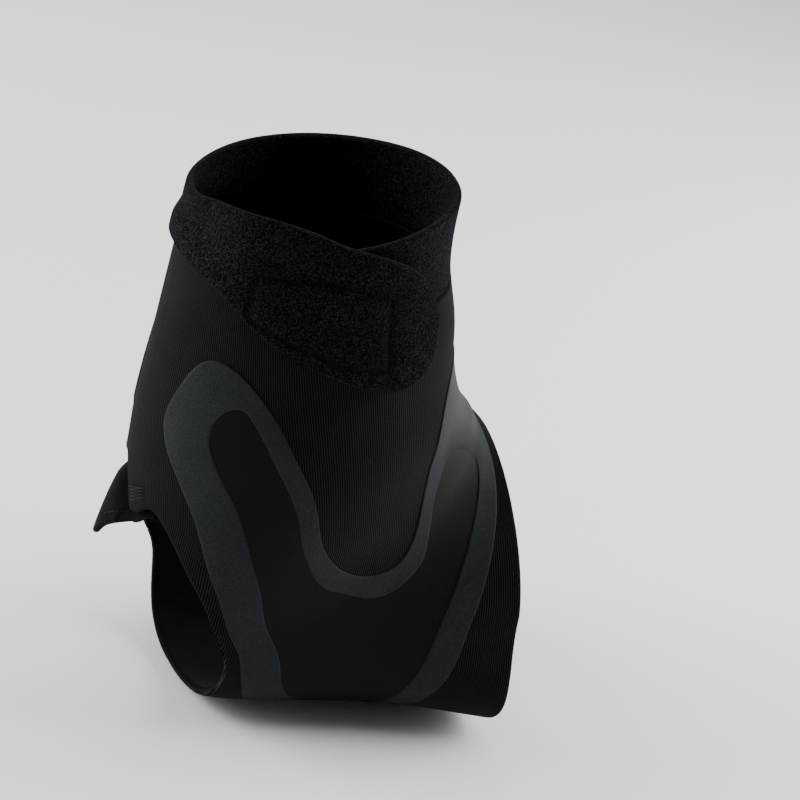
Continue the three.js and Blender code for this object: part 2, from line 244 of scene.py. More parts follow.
def form(run, way):
    """The knit's outer face: run 0 at the rim to 1 at the front edge, way once round."""
    s = section_at(run)
    front_x = mix(LEG_CENTRE_X + LEG_DEPTH / 2, FRONT_REACH, s["ahead"])
    front_z = mix(RIM_FRONT_HEIGHT, INSTEP_HEIGHT, s["drop"])
    back_x = mix(mix(LEG_CENTRE_X - LEG_DEPTH / 2, -HEEL_REACH, s["heel"]), FRONT_REACH, s["toe"])
    back_z = mix(RIM_BACK_HEIGHT, -KNIT_WALL, s["low"])
    cos, sin = np.cos(2 * np.pi * way), np.sin(2 * np.pi * way)
    power = 2 / np.where(cos > 0, s["round_top"], s["round_low"])
    along = np.sign(cos) * np.abs(cos) ** power
    across = np.sign(sin) * np.abs(sin) ** power
    side = mix(LEG_WIDTH / 2, np.where(sin > 0, OUTER_WIDTH, INNER_WIDTH), s["foot"]) * s["wide"]
    return np.stack([
        (front_x + back_x) / 2 + (front_x - back_x) / 2 * along,
        -side * (1 + s["taper"] * cos) * across + s["ridge"] * RIDGE_SHIFT * (1 + cos) / 2,
        (front_z + back_z) / 2 + (front_z - back_z) / 2 * along,
    ], axis=-1)


PROBE = 0.002


def over(run, way, lift):
    """Points at a height over the knit's outer face, along the face's normal."""
    run, way, lift = np.broadcast_arrays(*(np.asarray(v, float) for v in (run, way, lift)))
    along_run = form(run + PROBE, way) - form(run - PROBE, way)
    along_way = form(run, way + PROBE) - form(run, way - PROBE)
    normal = np.cross(along_way, along_run)
    normal /= np.linalg.norm(normal, axis=-1, keepdims=True)
    return form(run, way) + normal * lift[..., None]


LEG_RUN = float(np.linalg.norm(form(0.0, 0.25) - form(0.28, 0.25))) / 0.28
STRAP_END = STRAP_ROWS[-1][0]


def run_of(length):
    """A length in millimetres as a share of the run, on the leg."""
    return length / LEG_RUN


def strap_edges(turn):
    """Runs of the strap's upper and lower edge."""
    s = strap_at(turn)
    return s["top"], s["top"] + run_of(s["wide"] * STRAP_WIDTH)


def knit_top(way):
    """The knit's top edge: clear of the strap's sewn stretch, and up under the rest."""
    sewn_turn = np.where(way <= STRAP_START, STRAP_START - way, STRAP_START + 1 - way)
    sewn = strap_edges(np.clip(sewn_turn, 0, 1))[1] + run_of(EDGE_GAP)
    free_turn = STRAP_START + 1 - way
    free = strap_edges(np.minimum(free_turn, STRAP_END))[1] - run_of(STRAP_LAP)
    begun = smooth(LAP_TURN[0], LAP_TURN[1], free_turn)
    done = smooth(LAP_TURN[2], LAP_TURN[3], free_turn)
    return mix(sewn, free, begun * (1 - done))


def strap_lift(turn, run):
    """Lift of the strap's inner face: level with the knit where it is sewn, then out on the
    knit and the patch, flared at the rim and dipping in above the knit's edge."""
    upper, lower = strap_edges(turn)
    towards_top = np.clip((lower - run) / (lower - upper), 0, 1)
    flared = smooth(FLARE_TURN[0], FLARE_TURN[1], turn)
    settled = smooth(FLARE_TURN[1], FLARE_TURN[2], turn)
    flare = STRAP_FLARE * towards_top ** 2 * flared * (1 - settled)
    on_knit = smooth(*STRAP_CLIMB, turn)
    on_patch = smooth(*PATCH_CLIMB, turn)
    edge = knit_top(STRAP_START + 1 - turn)
    above = 1 - smooth(edge - run_of(DIP_REACH), edge - run_of(DIP_CLEAR), run)
    dip = STRAP_DIP * above * on_knit * (1 - on_patch)
    patched = PATCH_WALL + 2 * LAYER_GAP - STRAP_RESTS
    return mix(-STRAP_WALL, STRAP_RESTS, on_knit) + patched * on_patch - dip + flare


def opening_edges(way):
    """Upper and lower edge of the heel opening."""
    aside = np.abs(way - 0.5) / (OPENING_SPAN / 2)

    def bow(power):
        return np.maximum(1 - np.minimum(aside, 1) ** power, 0) ** (1 / power)

    lip = LIP_DROP * np.exp(-((way - LIP_PLACE) / LIP_SPREAD) ** 2)
    lip = lip - FAR_RISE * smooth(0.50, 0.53, way) * (1 - smooth(0.58, 0.66, way))
    return (OPENING_SIDES - OPENING_UP * bow(OPENING_ROUND_UP) + lip,
            OPENING_SIDES + OPENING_DOWN * bow(OPENING_ROUND_DOWN))


# Cloth lengths: u goes round the ring and v along the run, both in millimetres of cloth,
# evened out so that a rib keeps its width where the form bulges.
ROUND_LENGTH = 234.0
RUN_LENGTH = 196.0
RING_STEPS, RING_COUNT = 720, 60
ring_ways = np.linspace(0, 1, RING_STEPS + 1)
ring_runs = np.linspace(-0.06, 1.02, RING_COUNT)
ring_points = form(*np.meshgrid(ring_runs, ring_ways, indexing="ij"))
ring_steps = np.linalg.norm(np.diff(ring_points, axis=1), axis=-1)
ring_share = np.concatenate([np.zeros((RING_COUNT, 1)), np.cumsum(ring_steps, axis=1)], axis=1)
ring_share /= ring_share[:, -1:]


def cloth_uv(run, way):
    """Cloth lengths at places on the form."""
    turns = np.floor(way)
    at_run = np.clip((run - ring_runs[0]) / (ring_runs[1] - ring_runs[0]), 0, RING_COUNT - 1.001)
    at_way = (way - turns) * RING_STEPS
    i, j = at_run.astype(int), np.minimum(at_way.astype(int), RING_STEPS - 1)
    f, g = at_run - i, at_way - j
    share = ((1 - f) * ((1 - g) * ring_share[i, j] + g * ring_share[i, j + 1])
             + f * ((1 - g) * ring_share[i + 1, j] + g * ring_share[i + 1, j + 1]))
    return np.stack([(share + turns) * ROUND_LENGTH, run * RUN_LENGTH], axis=-1)


# Ribs: their pitch and lean, and the upright axes that they turn round behind and in front
RIB_PITCH = 0.7
RIB_LEAN = 0.285
LEAN_HEIGHTS = (60.0, 150.0)
HEEL_CENTRE, BACK_CENTRE, BACK_HEIGHTS, BACK_RADIUS = -47.0, -27.0, (35.0, 90.0), 34.0
TOE_CENTRE, SHIN_CENTRE, FRONT_HEIGHTS, FRONT_RADIUS = 60.0, -9.0, (70.0, 112.0), 31.0


def rib_place(points):
    """Where a point lies across the ribs, which stand upright on the foot and lean back a
    little up the leg: along the sides, and round both ends."""
    x, y, z = points[..., 0], np.abs(points[..., 1]), points[..., 2]
    front_centre = mix(TOE_CENTRE, SHIN_CENTRE, smooth(*FRONT_HEIGHTS, z))
    back_centre = mix(HEEL_CENTRE, BACK_CENTRE, smooth(*BACK_HEIGHTS, z))
    behind = np.arctan2(np.maximum(back_centre - x, 0), np.maximum(y, 0.1))
    ahead = np.arctan2(np.maximum(x - front_centre, 0), np.maximum(y, 0.1))
    lean = RIB_LEAN * (np.clip(z, *LEAN_HEIGHTS) - sum(LEAN_HEIGHTS) / 2)
    return (np.clip(x, back_centre, front_centre) + lean * np.cos(behind) * np.cos(ahead)
            - BACK_RADIUS * behind + FRONT_RADIUS * ahead)


def hex_colour(text):
    """An sRGB hex colour as linear red, green, blue and alpha."""
    parts = [int(text[n:n + 2], 16) / 255 for n in (1, 3, 5)]
    linear = [c / 12.92 if c <= 0.04045 else ((c + 0.055) / 1.055) ** 2.4 for c in parts]
    return (*linear, 1.0)


# Meshes

def add_object(name, data):
    """An object for a mesh, light or camera, put into the scene."""
    thing = bpy.data.objects.new(name, data)
    bpy.context.collection.objects.link(thing)
    return thing


def mesh_piece(name, points, faces, materials, face_slots=None, uv=None, period=None, marks=None):
    """A smooth mesh object from points in millimetres and four-sided faces. Where the cloth
    length starts again after its period, a face's corners are kept on one side of the jump."""
    mesh = bpy.data.meshes.new(name)
    faces = np.asarray(faces, np.int32)
    mesh.vertices.add(len(points))
    mesh.vertices.foreach_set("co", (np.asarray(points) * METRES).astype(np.float32).ravel())
    mesh.loops.add(faces.size)
    mesh.loops.foreach_set("vertex_index", faces.ravel())
    mesh.polygons.add(len(faces))
    mesh.polygons.foreach_set("loop_start", np.arange(0, faces.size, 4, dtype=np.int32))
    mesh.polygons.foreach_set("use_smooth", np.ones(len(faces), bool))
    for material in materials:
        mesh.materials.append(material)
    if face_slots is not None:
        mesh.polygons.foreach_set("material_index", np.asarray(face_slots, np.int32))
    if uv is not None:
        corner_uv = np.asarray(uv)[faces]
        if period:
            spread_u = corner_uv[..., 0].max(axis=1) - corner_uv[..., 0].min(axis=1)
            low = (spread_u[:, None] > period / 2) & (corner_uv[..., 0] < period / 2)
            corner_uv[..., 0] += low * period
        layer = mesh.uv_layers.new(name="cloth")
        layer.data.foreach_set("uv", corner_uv.reshape(-1).astype(np.float32))
    for mark, values in (marks or {}).items():
        layer = mesh.attributes.new(mark, "FLOAT", "POINT")
        layer.data.foreach_set("value", np.asarray(values, np.float32))
    mesh.update(calc_edges=True)
    mesh.validate()
    return add_object(name, mesh)


def free_edges(faces, count):
    """Directed edges of the faces that no other face shares."""
    starts = faces.ravel()
    stops = np.roll(faces, -1, axis=1).ravel()
    codes, backs = starts * count + stops, stops * count + starts
    alone = ~np.isin(codes, backs)
    return starts[alone], stops[alone]


def distance_to(points, edge_points):
    """Distance from each point to the nearest edge point."""
    tree = kdtree.KDTree(len(edge_points))
    for n, p in enumerate(edge_points):
        tree.insert(p, n)
    tree.balance()
    return np.array([tree.find(p)[2] for p in points])


def thick_piece(name, run, way, low, high, faces, materials, edge_round=1.0, edge_least=0.22,
                marks=None):
    """A closed solid from a sheet: both faces, rounded towards every free edge, and walls."""
    run, way = np.ravel(run), np.ravel(way)
    low, high = np.ravel(low) + 0 * run, np.ravel(high) + 0 * run
    faces = np.asarray(faces)
    count = len(run)
    starts, stops = free_edges(faces, count)
    middle = over(run, way, (low + high) / 2)
    apart = distance_to(middle, middle[starts])
    share = np.clip(apart / edge_round, 0, 1)
    bulge = np.maximum(edge_least, np.sqrt(1 - (1 - share) ** 2))
    half = (high - low) / 2 * bulge
    centre = (low + high) / 2
    points = np.concatenate([over(run, way, centre + half), over(run, way, centre - half)])
    walls = np.stack([starts, starts + count, stops + count, stops], axis=1)
    every = np.concatenate([faces, faces[:, ::-1] + count, walls])
    slots = np.zeros(len(every), np.int32)
    slots[2 * len(faces):] = len(materials) - 1
    uv = cloth_uv(run, way)
    both = {mark: np.concatenate([v, 0 * v]) for mark, v in (marks or {}).items()}
    both["rib_place"] = rib_place(points)
    return mesh_piece(name, points, every, materials, slots, np.concatenate([uv, uv]),
                      ROUND_LENGTH, both)


def grid_faces(columns, rows, closed=False):
    """Faces of a grid of columns, each with its rows from its upper to its lower edge."""
    k = np.arange(columns if closed else columns - 1)
    r = np.arange(rows - 1)
    k, r = (m.ravel() for m in np.meshgrid(k, r, indexing="ij"))
    nxt = (k + 1) % columns
    return np.stack([k * rows + r, nxt * rows + r, nxt * rows + r + 1, k * rows + r + 1], axis=1)


def eased(count, share=0.75):
    """Places from 0 to 1 that close up at both ends."""
    t = np.linspace(0, 1, count)
    return mix(t, (1 - np.cos(np.pi * t)) / 2, share)


# Materials

def add_node(tree, kind, inputs=None, **settings):
    """A shader node with its settings and its inputs, each a value or another node's output."""
    node = tree.nodes.new(kind)
    for name, value in settings.items():
        setattr(node, name, value)
    for key, value in (inputs or {}).items():
        socket = node.inputs[key]
        if isinstance(value, bpy.types.NodeSocket):
            tree.links.new(value, socket)
        else:
            socket.default_value = value
    return node


def new_material(name):
    material = bpy.data.materials.new(name)
    material.use_nodes = True
    return material, material.node_tree, material.node_tree.nodes["Principled BSDF"]


def object_mm(tree):
    """Places on the piece in millimetres."""
    coords = add_node(tree, "ShaderNodeTexCoord")
    scaled = add_node(tree, "ShaderNodeVectorMath", {0: coords.outputs["Object"], 3: 1 / METRES},
                      operation="SCALE")
    return scaled.outputs[0]


def math_node(tree, operation, a, b=0.0, c=0.0):
    return add_node(tree, "ShaderNodeMath", {0: a, 1: b, 2: c}, operation=operation).outputs[0]


def wave(tree, value, pitch):
    """A wave from 0 to 1 with its pitch in the value's own unit."""
    turned = math_node(tree, "MULTIPLY", value, 2 * math.pi / pitch)
    return math_node(tree, "MULTIPLY_ADD", math_node(tree, "SINE", turned), 0.5, 0.5)


def noise(tree, vector, size, detail=2.0, roughness=0.5):
    """Noise with features of about that size in millimetres."""
    return add_node(tree, "ShaderNodeTexNoise",
                    {"Vector": vector, "Scale": 1 / size, "Detail": detail, "Roughness": roughness},
                    ).outputs["Fac"]


def colour_mix(tree, factor, a, b):
    return add_node(tree, "ShaderNodeMix", {0: factor, 6: a, 7: b}, data_type="RGBA").outputs[2]


def between(tree, value, low, high):
    """0 below low, 1 above high, and even between."""
    node = add_node(tree, "ShaderNodeMapRange", {0: value, 1: low, 2: high}, clamp=True)
    return node.outputs[0]


def set_values(node, values):
    """Constants on the node's own inputs, by name."""
    for name, value in values.items():
        node.inputs[name].default_value = value


def bumped(tree, shader, strength, distance, height):
    """Relief on the shader, its distance in metres."""
    bump = add_node(tree, "ShaderNodeBump",
                    {"Strength": strength, "Distance": distance, "Height": height})
    tree.links.new(bump.outputs[0], shader.inputs["Normal"])


def vertex_mark(tree, name):
    """A value written on the piece's vertices."""
    return add_node(tree, "ShaderNodeAttribute", attribute_name=name).outputs["Fac"]


def cloth_lengths(tree):
    """Cloth lengths round the ring and along the run, in millimetres."""
    uv = add_node(tree, "ShaderNodeUVMap", uv_map="cloth")
    split = add_node(tree, "ShaderNodeSeparateXYZ", {0: uv.outputs[0]})
    return split.outputs[0], split.outputs[1]


def ribbed_knit():
    """Fine ribs of matt yarn, upright on the foot, which show as thin lighter lines in a black
    cloth."""
    material, tree, shader = new_material("ribbed_knit")
    along = cloth_lengths(tree)[1]
    place = object_mm(tree)
    wobble = math_node(tree, "MULTIPLY_ADD", noise(tree, place, 9.0), 0.5,
                       vertex_mark(tree, "rib_place"))
    rib = wave(tree, wobble, RIB_PITCH)
    stitch = wave(tree, math_node(tree, "MULTIPLY_ADD", rib, 0.22, along), 0.62)
    strength = vertex_mark(tree, "ribs")
    fuzz = noise(tree, place, 0.45, 3.0, 0.65)
    cloud = noise(tree, place, 14.0, 2.0)
    ridge = math_node(tree, "MULTIPLY", between(tree, rib, 0.25, 0.95), strength)
    light = math_node(tree, "MULTIPLY_ADD", ridge, 0.55, math_node(tree, "MULTIPLY", fuzz, 0.4))
    light = math_node(tree, "MULTIPLY_ADD", cloud, 0.2, light)
    colour = colour_mix(tree, between(tree, light, 0.25, 0.95),
                        hex_colour("#020303"), hex_colour("#232527"))
    tree.links.new(colour, shader.inputs["Base Color"])
    loops = math_node(tree, "MULTIPLY", stitch, strength)
    height = math_node(tree, "MULTIPLY", ridge, 0.75)
    height = math_node(tree, "MULTIPLY_ADD", loops, 0.3, height)
    height = math_node(tree, "MULTIPLY_ADD", fuzz, 0.45, height)
    bumped(tree, shader, 0.55, 0.00016, height)
    set_values(shader, {"Roughness": 0.9, "Specular IOR Level": 0.03, "Sheen Weight": 0.03,
                        "Sheen Roughness": 0.45, "Sheen Tint": hex_colour("#b9c0c2")})
    return material


def loop_pile():
    """Short brushed loops: a black pile speckled with the lighter tips that catch light, and
    dull where a stitched line presses them down."""
    material, tree, shader = new_material("loop_pile")
    place = object_mm(tree)
    loops = noise(tree, place, 0.42, 3.0, 0.6)
    tufts = noise(tree, place, 0.8, 2.0, 0.5)
    rubbed = noise(tree, place, 16.0, 2.0)
    tips = between(tree, math_node(tree, "MULTIPLY_ADD", tufts, 0.35, loops), 0.62, 0.92)
    tips = math_node(tree, "MULTIPLY", tips, math_node(tree, "MULTIPLY_ADD", rubbed, 0.9, 0.35))
    upright = math_node(tree, "SUBTRACT", 1.0, vertex_mark(tree, "pressed"))
    tips = math_node(tree, "MULTIPLY", tips, upright)
    colour = colour_mix(tree, tips, hex_colour("#050506"), hex_colour("#303137"))
    tree.links.new(colour, shader.inputs["Base Color"])
    bumped(tree, shader, 0.9, 0.0003, math_node(tree, "MULTIPLY_ADD", tufts, 0.5, loops))
    set_values(shader, {"Roughness": 0.96, "Specular IOR Level": 0.01, "Sheen Weight": 0.02,
                        "Sheen Roughness": 0.5, "Sheen Tint": hex_colour("#b4b5bd")})
    return material


def fused_film(name, dark, pale, weave, fade_and_shade_tones=None):
    """Thin matt film fused to the knit: the cloth's fine weave prints through it. Where the band
    fades out over the instep it takes the thin film's darker tones;
    near the sole those same darker tones are painted shade."""
    material, tree, shader = new_material(name)
    around, along = cloth_lengths(tree)
    place = object_mm(tree)
    slant = wave(tree, math_node(tree, "ADD", around, along), 0.8)
    grain = noise(tree, place, 0.5, 3.0, 0.6)
    cloud = noise(tree, place, 11.0, 3.0)
    light = math_node(tree, "MULTIPLY_ADD", grain, 0.8, math_node(tree, "MULTIPLY", cloud, 0.2))
    light = math_node(tree, "MULTIPLY_ADD", slant, 0.06, light)
    tone = between(tree, light, 0.36, 0.7)
    colour = colour_mix(tree, tone, hex_colour(dark), hex_colour(pale))
    # Mixed towards the thin film's darker tones: a real fade over the instep, painted shade near the
    # sole.
    if fade_and_shade_tones:
        thin = colour_mix(tree, tone, hex_colour(fade_and_shade_tones[0]), hex_colour(fade_and_shade_tones[1]))
        colour = colour_mix(tree, vertex_mark(tree, "fade_and_sole_shade"), colour, thin)
    tree.links.new(colour, shader.inputs["Base Color"])
    bumped(tree, shader, 0.5, 0.00012, math_node(tree, "MULTIPLY_ADD", slant, weave, grain))
    rough = math_node(tree, "MULTIPLY_ADD", grain, 0.12, 0.6)
    tree.links.new(rough, shader.inputs["Roughness"])
    set_values(shader, {"Specular IOR Level": 0.08})
    return material


def cut_edge():
    """The raw cut through the laminate: a thin dark line between two faces, its brown tone a painted
    reflection of the skin beside the edges.
    """
    material, tree, shader = new_material("cut_edge")
    crumbs = noise(tree, object_mm(tree), 0.4, 3.0, 0.7)
    # Brown tones: painted reflection of the skin beside the edges, on a foam texture.
    colour = colour_mix(tree, between(tree, crumbs, 0.3, 0.7),
                        hex_colour("#0e0a08"), hex_colour("#281d15"))
    tree.links.new(colour, shader.inputs["Base Color"])
    bumped(tree, shader, 0.7, 0.0002, crumbs)
    set_values(shader, {"Roughness": 0.95, "Specular IOR Level": 0.03})
    return material


def hook_tape():
    """Moulded hooks: a stiff black plastic field of tiny studs."""
    material, tree, shader = new_material("hook_tape")
    cells = add_node(tree, "ShaderNodeTexVoronoi", {"Vector": object_mm(tree), "Scale": 1 / 0.9})
    studs = between(tree, cells.outputs["Distance"], 0.15, 0.5)
    height = math_node(tree, "SUBTRACT", 1.0, studs)
    colour = colour_mix(tree, height, hex_colour("#0a0a0b"), hex_colour("#1c1c1f"))
    tree.links.new(colour, shader.inputs["Base Color"])
    bumped(tree, shader, 1.0, 0.0004, height)
    set_values(shader, {"Roughness": 0.6})
    return material


def sewing_thread():
    """Twisted black thread with the faint shine of polyester."""
    material, tree, shader = new_material("sewing_thread")
    twist = noise(tree, object_mm(tree), 0.25, 1.0)
    colour = colour_mix(tree, twist, hex_colour("#08080c"), hex_colour("#17171e"))
    tree.links.new(colour, shader.inputs["Base Color"])
    set_values(shader, {"Roughness": 0.55, "Specular IOR Level": 0.15})
    return material


# Dark and pale tone of the thin film in the lobes
THIN_TONES = ("#030504", "#0c0f0d")
knit_look = ribbed_knit()
pile_look = loop_pile()
film_look = fused_film("bonded_film", "#14181a", "#262b2e", 0.3, THIN_TONES)
panel_look = fused_film("thin_film", *THIN_TONES, 0.25)
edge_look = cut_edge()
hook_look = hook_tape()
thread_look = sewing_thread()


# Knit body: one sheet all round, split above and below the heel opening. Where the strap
# is sewn on, the knit's top edge is tucked in behind the strap.

def build_knit():
    """Columns stand closer beside the opening's corners. Each has rows above the opening and
    rows below it, which are joined where there is no opening between them."""
    opening_steps, rest_steps, above_rows, below_rows = 104, 196, 76, 66
    open_from, open_to = 0.5 - OPENING_SPAN / 2, 0.5 + OPENING_SPAN / 2
    t = np.arange(opening_steps + 1) / opening_steps
    inside = 0.5 - OPENING_SPAN / 2 * np.cos(np.pi * t)
    outside = np.linspace(open_to, open_from + 1, rest_steps + 1)[1:-1] % 1
    ways = np.concatenate([inside, outside])
    upper_edge, lower_edge = opening_edges(ways)
    count = len(ways)
    above_t, below_t = eased(above_rows), eased(below_rows)
    turn = np.where(ways <= STRAP_START, STRAP_START - ways, STRAP_START + 1 - ways)
    strap_low = strap_edges(turn)[1]
    sewn = turn < LAP_TURN[1]
    tucked = np.where(sewn, np.maximum(0, STRAP_RESTS - strap_lift(turn, strap_low)), 0)
    tucked = tucked * smooth(0.0, 0.02, turn)
    top_edge = knit_top(ways)
    top_edge = np.where(sewn, np.minimum(top_edge, strap_low - run_of(STRAP_LAP)), top_edge)
    above = mix(top_edge[:, None], upper_edge[:, None], above_t[None, :])
    below = mix(lower_edge[:, None], np.ones((count, 1)), below_t[None, :])
    run = np.concatenate([above.ravel(), below.ravel()])
    way = np.concatenate([np.repeat(ways, above_rows), np.repeat(ways, below_rows)])
    top_faces = grid_faces(count, above_rows, closed=True)
    low_faces = grid_faces(count, below_rows, closed=True) + count * above_rows
    faces = np.concatenate([top_faces, low_faces])
    # Beside the opening both parts share one point on each column.
    column = np.arange(count)
    closed = np.flatnonzero((column == 0) | (column >= opening_steps))
    shared = np.arange(len(run))
    shared[count * above_rows + closed * below_rows] = closed * above_rows + above_rows - 1
    faces = shared[faces]
    used = np.unique(faces)
    renumber = np.zeros(len(run), int)
    renumber[used] = np.arange(len(used))
    every_column = np.concatenate([np.repeat(column, above_rows),
                                   np.repeat(column, below_rows)])[used]
    run, way, faces = run[used], way[used], renumber[faces]
    seam = strap_low[every_column]
    sunk = tucked[every_column] * (1 - smooth(seam + run_of(0.1), seam + run_of(0.9), run))
    away = np.minimum(way, 1 - way)
    ribs = mix(0.25, 1.0, smooth(0.09, 0.22, away))
    return thick_piece("knit_shell", run, way, -KNIT_WALL - sunk, -sunk, faces,
                       [knit_look, edge_look], edge_round=1.1, marks={"ribs": ribs})


knit_shell = build_knit()


# Heel tab: sewn under the knit's edge, its lower edge hanging behind the heel. Below the
# edge it comes out from under the knit, and turns in again by a share of that.
TAB_COMES_OUT, TAB_TURNS_IN = 4.5, 5.0
TAB_TURNED_SHARE = 0.45


def tab_rows(aside):
    """Knit edge over the tab and the tab's own lower edge, by share of half its span."""
    way = TAB_CENTRE + aside * TAB_SPAN / 2
    edge = opening_edges(way)[0]
    return way, edge, np.maximum(tab_at(np.abs(aside))["hang"], edge + run_of(TAB_SHOWS))


def tab_lift(run, way, edge, hang):
    """Lift of the tab's outer face: under the knit, then out from it, most behind the heel."""
    under = smooth(edge, hang + run_of(TAB_SHOWS), run)
    behind = np.exp(-((way - TAB_STANDS_AT[0]) / TAB_STANDS_AT[1]) ** 2)
    return (mix(-KNIT_WALL - LAYER_GAP, -LAYER_GAP, under)
            + TAB_STANDS_OFF * behind * smooth(edge, edge + run_of(TAB_COMES_OUT), run)
            * (1 - TAB_TURNED_SHARE * smooth(edge + run_of(TAB_TURNS_IN), hang, run)))


def build_tab():
    columns, rows = 120, 40
    way, edge, hang = tab_rows(np.linspace(-1, 1, columns))
    run = mix((edge - run_of(TAB_LAP))[:, None], hang[:, None], eased(rows)[None, :])
    way = np.repeat(way[:, None], rows, axis=1)
    high = tab_lift(run, way, edge[:, None], hang[:, None])
    ribs = np.full(run.size, 0.3)
    return thick_piece("tab_shell", run, way, high - TAB_WALL, high, grid_faces(columns, rows),
                       [knit_look, edge_look], edge_round=1.0, marks={"ribs": ribs})


tab_shell = build_tab()


# Ankle strap, with the sewn rectangle of the hook patch printing through its end: how high
# it is raised and over what width, and the depth, place and width of its stitched groove
PATCH_RAISED, PATCH_RISES = 0.45, (-0.6, 2.2)
GROOVE_DEPTH, GROOVE_PLACE, GROOVE_WIDTH = 0.34, 0.2, 1.0
PRESSED_SHARE, PRESSED_WIDTH = 0.5, 1.1
END_BEGINS = 0.8


def patch_emboss(turn, run):
    """Raised rectangle with a shallow stitched groove round it, and how pressed the pile is."""
    way = STRAP_START - turn + 1
    first, last = PATCH_ROWS[0][0], PATCH_ROWS[-1][0]
    p = patch_at(np.clip(way, first, last))
    aside = np.minimum(last - way, way - first) * ROUND_LENGTH
    along = np.minimum(run - p["upper"], p["lower"] - run) * RUN_LENGTH
    depth = np.minimum(aside, along)
    raised = PATCH_RAISED * smooth(*PATCH_RISES, depth)
    groove = GROOVE_DEPTH * np.exp(-((depth - GROOVE_PLACE) / GROOVE_WIDTH) ** 2)
    pressed = PRESSED_SHARE * np.exp(-((depth - GROOVE_PLACE) / PRESSED_WIDTH) ** 2)
    at_end = turn > END_BEGINS
    return np.where(at_end, raised - groove, 0.0), np.where(at_end, pressed, 0.0)


def build_strap():
    """The strap from its sewn start to its rounded end, with more columns towards the end."""
    columns, rows = 520, 46
    share = np.linspace(0, 1, columns)
    turn = STRAP_END * (1 - (1 - share) ** 1.25)
    upper, lower = strap_edges(turn)
    run = mix(upper[:, None], lower[:, None], eased(rows)[None, :])
    turn = np.repeat(turn[:, None], rows, axis=1)
    low = strap_lift(turn, run)
    printed, pressed = patch_emboss(turn, run)
    high = low + STRAP_WALL + printed
    way = STRAP_START - turn
    # Columns in the other order, so that the faces look outwards
    flip = slice(None, None, -1)
    return thick_piece("strap_shell", run[flip], way[flip], low[flip], high[flip],
                       grid_faces(columns, rows), [pile_look, edge_look], edge_round=1.0,
                       edge_least=0.16, marks={"pressed": pressed[flip].ravel()})


strap_shell = build_strap()


def build_patch():
    columns, rows = 60, 50
    way = np.linspace(PATCH_ROWS[0][0], PATCH_ROWS[-1][0], columns)
    p = patch_at(way)
    run = mix(p["upper"][:, None], p["lower"][:, None], eased(rows)[None, :])
    way = np.repeat(way[:, None], rows, axis=1)
    return thick_piece("hook_plate", run, way, LAYER_GAP, LAYER_GAP + PATCH_WALL,
                       grid_faces(columns, rows), [hook_look], edge_round=0.5)


hook_plate = build_patch()


# Film bands: fused to the knit, so each sinks into its face, edges softly rounded. Where a
# band fades into the thin film it stands only a little over that.
FILM_SINKS = 0.25
FILM_STANDS = 0.36
PANEL_SINKS = 0.35
PANEL_LIFT = 0.16
FADED_STANDS = PANEL_LIFT + 0.04
# Rows of the film's table between which it fades over the instep, the share of its width
# over which it does, and the heights between which, at the sole, it thins and is darkened as painted
# shade
FADE_ROWS = (25.2, 27.0, 31.5, 33.5)
FADE_ACROSS = (0.45, 0.95)
SOLE_FADE_AND_SHADE = (0.0, 11.0)
# Tight bows of the band: the row of the film's table at each one's middle, and its reach
BOW_ROWS = ((0.5, 2.6), (11.0, 3.4), (21.8, 2.8), (40.0, 2.5))
# The two rows at the instep's middle, between which both sides' bands are one
MIDDLE_ROWS = (29, 30)
# How far wavers are smoothed away, in rows of the table: along the band, and in its bows
EVENED_BY, BOW_EVENED_BY = 1.0, 0.3


def evened(values, spread, mirrored=(False, False)):
    """Values along the band with small wavers smoothed away. Beyond an end they run on
    turned about it, so it keeps its place, or mirrored in it, so it lies level."""
    steps = int(3 * spread)
    weights = np.exp(-(np.arange(-steps, steps + 1) / spread) ** 2 / 2)
    before, after = values[steps:0:-1], values[-2:-steps - 2:-1]
    before = before if mirrored[0] else 2 * values[0] - before
    after = after if mirrored[1] else 2 * values[-1] - after
    return np.convolve(np.concatenate([before, values, after]), weights / weights.sum(), "valid")


def film_edges(steps):
    """Places along the band, so many to each row of its table, and the run and way of its
    outer and inner edge there. The outer edge is made in three stretches, level at the
    instep's middle, since its way is 0 along the middle one."""
    last = len(FILM_ROWS) - 1

    def edge(first, final, names, mirrored=((False, False), (False, False))):
        rows = [(n, *FILM_ROWS[n]) for n in range(first, final + 1)]
        at = np.linspace(first, final, (final - first) * steps + 1)
        read = curve_of(FILM_COLUMNS, rows)(at)
        bows = sum(np.exp(-((at - row) / wide) ** 4) for row, wide in BOW_ROWS)
        return [mix(evened(read[name], EVENED_BY * steps, m),
                    evened(read[name], BOW_EVENED_BY * steps, m), bows)
                for name, m in zip(names, mirrored)]

    level = (True, False)
    outer = ("out_run", "out_way")
    before = edge(0, MIDDLE_ROWS[0], outer, (level[::-1], (False, False)))
    after = edge(MIDDLE_ROWS[1], last, outer, (level, (False, False)))
    middle = [np.linspace(a[-1], b[0], steps + 1)[1:-1] for a, b in zip(before, after)]
    out_run, out_way = (np.concatenate(parts) for parts in zip(before, middle, after))
    in_run, in_way = edge(0, last, ("in_run", "in_way"))
    return np.linspace(0, last, last * steps + 1), out_run, np.maximum(out_way, 0), in_run, in_way


